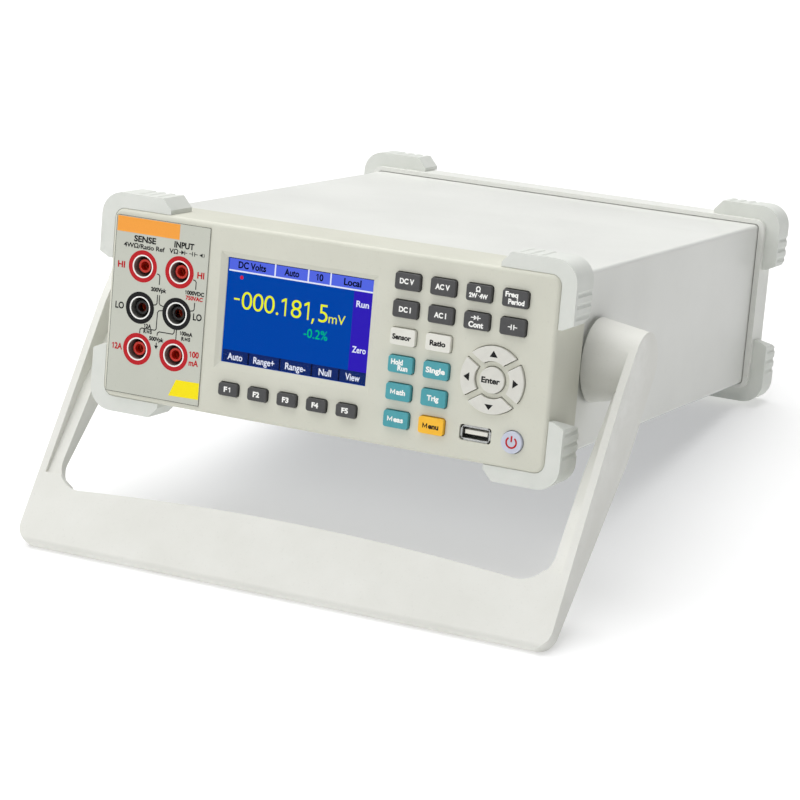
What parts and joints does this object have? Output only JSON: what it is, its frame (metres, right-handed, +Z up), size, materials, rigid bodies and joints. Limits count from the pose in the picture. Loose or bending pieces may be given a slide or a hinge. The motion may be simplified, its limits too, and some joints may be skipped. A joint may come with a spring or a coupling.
{
  "type": "bench multimeter",
  "caption": "Bench multimeter with a tilted lit display, banana sockets, push keys, corner bumpers and a swing handle that doubles as a stand.",
  "frame": {"origin": "on the standing surface, under the middle of the whole object as it stands on its handle", "axes": "+X to the panel's right as its user sees it, +Y from the panel to the back, +Z up; the case is tilted back 11.2 degrees"},
  "size_m": [0.2646, 0.3445, 0.1549],
  "materials": {
    "bezel_plastic": "fine satin moulding",
    "overlay_film": "satin printed film",
    "window": "clear gloss",
    "lcd": "lit panel",
    "silicone": "matt",
    "circuit_board": "solder mask",
    "red_plastic": "semi-gloss",
    "black_plastic": "semi-matt",
    "white_plastic": "semi-gloss",
    "contact_metal": "plated",
    "plated_steel": "nickel plated",
    "dark_key": "matt silicone",
    "light_key": "matt silicone",
    "teal_key": "matt silicone",
    "amber_key": "matt silicone",
    "power_key": "translucent satin",
    "cover_paint": "fine powder coat",
    "tray_steel": "zinc plated",
    "core_steel": "laminated, varnished",
    "coil_tape": "polyester tape",
    "tin_plate": "tin plated",
    "rear_panel_paint": "fine powder coat",
    "bumper_rubber": "soft-touch matt",
    "hub_plastic": "satin",
    "handle_plastic": "satin moulding"
  },
  "bodies": {
    "instrument": {"front_bezel": "bezel_plastic", "terminal_overlay": "overlay_film", "display_window": "window", "lcd_panel": "lcd", "keypad_mat": "silicone", "front_board": "circuit_board", "red_jacks": "red_plastic", "black_jacks": "black_plastic", "jack_contacts": "contact_metal", "jack_nuts": "plated_steel", "usb_shell": "plated_steel", "usb_tongue": "white_plastic", "top_cover": "cover_paint", "base_tray": "tray_steel", "main_board": "circuit_board", "transformer_core": "core_steel", "transformer_coil": "coil_tape", "shield_can": "tin_plate", "rear_bezel": "bezel_plastic", "rear_panel": "rear_panel_paint", "mains_inlet": "black_plastic", "inlet_pins": "plated_steel", "rocker_frame": "black_plastic", "usb_b_socket": "plated_steel", "serial_socket": "plated_steel", "front_bumpers": "bumper_rubber", "rear_bumpers": "bumper_rubber", "hub_plates": "hub_plastic", "pivot_pins": "plated_steel", "case_screws": "plated_steel", "board_screws": "plated_steel"},
    "dc_volts_key": {"dc_volts_key": "dark_key"},
    "ac_volts_key": {"ac_volts_key": "dark_key"},
    "ohms_key": {"ohms_key": "dark_key"},
    "frequency_key": {"frequency_key": "dark_key"},
    "dc_current_key": {"dc_current_key": "dark_key"},
    "ac_current_key": {"ac_current_key": "dark_key"},
    "continuity_key": {"continuity_key": "dark_key"},
    "capacitance_key": {"capacitance_key": "dark_key"},
    "sensor_key": {"sensor_key": "light_key"},
    "ratio_key": {"ratio_key": "light_key"},
    "hold_key": {"hold_key": "teal_key"},
    "single_key": {"single_key": "teal_key"},
    "math_key": {"math_key": "teal_key"},
    "trigger_key": {"trigger_key": "teal_key"},
    "measure_key": {"measure_key": "teal_key"},
    "menu_key": {"menu_key": "amber_key"},
    "soft_key_1": {"soft_key_1": "dark_key"},
    "soft_key_2": {"soft_key_2": "dark_key"},
    "soft_key_3": {"soft_key_3": "dark_key"},
    "soft_key_4": {"soft_key_4": "dark_key"},
    "soft_key_5": {"soft_key_5": "dark_key"},
    "nav_right": {"nav_right": "light_key"},
    "nav_up": {"nav_up": "light_key"},
    "nav_left": {"nav_left": "light_key"},
    "nav_down": {"nav_down": "light_key"},
    "enter_key": {"enter_key": "light_key"},
    "power_button": {"power_button": "power_key"},
    "mains_rocker": {"mains_rocker": "black_plastic"},
    "handle": {"handle": "handle_plastic"}
  },
  "joints": [
    {"name": "dc_volts_key_press", "type": "slide", "parent": "instrument", "child": "dc_volts_key", "axis": [0, 0.981, -0.1942], "range_m": [0, 0.001], "stiffness_N_per_m": 400, "springref_m": -0.0015},
    {"name": "ac_volts_key_press", "type": "slide", "parent": "instrument", "child": "ac_volts_key", "axis": [0, 0.981, -0.1942], "range_m": [0, 0.001], "stiffness_N_per_m": 400, "springref_m": -0.0015},
    {"name": "ohms_key_press", "type": "slide", "parent": "instrument", "child": "ohms_key", "axis": [0, 0.981, -0.1942], "range_m": [0, 0.001], "stiffness_N_per_m": 400, "springref_m": -0.0015},
    {"name": "frequency_key_press", "type": "slide", "parent": "instrument", "child": "frequency_key", "axis": [0, 0.981, -0.1942], "range_m": [0, 0.001], "stiffness_N_per_m": 400, "springref_m": -0.0015},
    {"name": "dc_current_key_press", "type": "slide", "parent": "instrument", "child": "dc_current_key", "axis": [0, 0.981, -0.1942], "range_m": [0, 0.001], "stiffness_N_per_m": 400, "springref_m": -0.0015},
    {"name": "ac_current_key_press", "type": "slide", "parent": "instrument", "child": "ac_current_key", "axis": [0, 0.981, -0.1942], "range_m": [0, 0.001], "stiffness_N_per_m": 400, "springref_m": -0.0015},
    {"name": "continuity_key_press", "type": "slide", "parent": "instrument", "child": "continuity_key", "axis": [0, 0.981, -0.1942], "range_m": [0, 0.001], "stiffness_N_per_m": 400, "springref_m": -0.0015},
    {"name": "capacitance_key_press", "type": "slide", "parent": "instrument", "child": "capacitance_key", "axis": [0, 0.981, -0.1942], "range_m": [0, 0.001], "stiffness_N_per_m": 400, "springref_m": -0.0015},
    {"name": "sensor_key_press", "type": "slide", "parent": "instrument", "child": "sensor_key", "axis": [0, 0.981, -0.1942], "range_m": [0, 0.001], "stiffness_N_per_m": 400, "springref_m": -0.0015},
    {"name": "ratio_key_press", "type": "slide", "parent": "instrument", "child": "ratio_key", "axis": [0, 0.981, -0.1942], "range_m": [0, 0.001], "stiffness_N_per_m": 400, "springref_m": -0.0015},
    {"name": "hold_key_press", "type": "slide", "parent": "instrument", "child": "hold_key", "axis": [0, 0.981, -0.1942], "range_m": [0, 0.001], "stiffness_N_per_m": 400, "springref_m": -0.0015},
    {"name": "single_key_press", "type": "slide", "parent": "instrument", "child": "single_key", "axis": [0, 0.981, -0.1942], "range_m": [0, 0.001], "stiffness_N_per_m": 400, "springref_m": -0.0015},
    {"name": "math_key_press", "type": "slide", "parent": "instrument", "child": "math_key", "axis": [0, 0.981, -0.1942], "range_m": [0, 0.001], "stiffness_N_per_m": 400, "springref_m": -0.0015},
    {"name": "trigger_key_press", "type": "slide", "parent": "instrument", "child": "trigger_key", "axis": [0, 0.981, -0.1942], "range_m": [0, 0.001], "stiffness_N_per_m": 400, "springref_m": -0.0015},
    {"name": "measure_key_press", "type": "slide", "parent": "instrument", "child": "measure_key", "axis": [0, 0.981, -0.1942], "range_m": [0, 0.001], "stiffness_N_per_m": 400, "springref_m": -0.0015},
    {"name": "menu_key_press", "type": "slide", "parent": "instrument", "child": "menu_key", "axis": [0, 0.981, -0.1942], "range_m": [0, 0.001], "stiffness_N_per_m": 400, "springref_m": -0.0015},
    {"name": "soft_key_1_press", "type": "slide", "parent": "instrument", "child": "soft_key_1", "axis": [0, 0.981, -0.1942], "range_m": [0, 0.001], "stiffness_N_per_m": 400, "springref_m": -0.0015},
    {"name": "soft_key_2_press", "type": "slide", "parent": "instrument", "child": "soft_key_2", "axis": [0, 0.981, -0.1942], "range_m": [0, 0.001], "stiffness_N_per_m": 400, "springref_m": -0.0015},
    {"name": "soft_key_3_press", "type": "slide", "parent": "instrument", "child": "soft_key_3", "axis": [0, 0.981, -0.1942], "range_m": [0, 0.001], "stiffness_N_per_m": 400, "springref_m": -0.0015},
    {"name": "soft_key_4_press", "type": "slide", "parent": "instrument", "child": "soft_key_4", "axis": [0, 0.981, -0.1942], "range_m": [0, 0.001], "stiffness_N_per_m": 400, "springref_m": -0.0015},
    {"name": "soft_key_5_press", "type": "slide", "parent": "instrument", "child": "soft_key_5", "axis": [0, 0.981, -0.1942], "range_m": [0, 0.001], "stiffness_N_per_m": 400, "springref_m": -0.0015},
    {"name": "nav_right_press", "type": "slide", "parent": "instrument", "child": "nav_right", "axis": [0, 0.981, -0.1942], "range_m": [0, 0.001], "stiffness_N_per_m": 400, "springref_m": -0.0015},
    {"name": "nav_up_press", "type": "slide", "parent": "instrument", "child": "nav_up", "axis": [0, 0.981, -0.1942], "range_m": [0, 0.001], "stiffness_N_per_m": 400, "springref_m": -0.0015},
    {"name": "nav_left_press", "type": "slide", "parent": "instrument", "child": "nav_left", "axis": [0, 0.981, -0.1942], "range_m": [0, 0.001], "stiffness_N_per_m": 400, "springref_m": -0.0015},
    {"name": "nav_down_press", "type": "slide", "parent": "instrument", "child": "nav_down", "axis": [0, 0.981, -0.1942], "range_m": [0, 0.001], "stiffness_N_per_m": 400, "springref_m": -0.0015},
    {"name": "enter_key_press", "type": "slide", "parent": "instrument", "child": "enter_key", "axis": [0, 0.981, -0.1942], "range_m": [0, 0.001], "stiffness_N_per_m": 400, "springref_m": -0.0015},
    {"name": "power_button_press", "type": "slide", "parent": "instrument", "child": "power_button", "axis": [0, 0.981, -0.1942], "range_m": [0, 0.001], "stiffness_N_per_m": 400, "springref_m": -0.0015},
    {"name": "mains_rocker_tilt", "type": "hinge", "parent": "instrument", "child": "mains_rocker", "pos_m": [0.075, 0.15602, 0.07375], "axis": [1, 0, 0], "range_deg": [-15, 0]},
    {"name": "handle_swing", "type": "hinge", "parent": "instrument", "child": "handle", "pos_m": [0, -0.06661, 0.09489], "axis": [1, 0, 0], "range_deg": [-205, 98]}
  ]
}
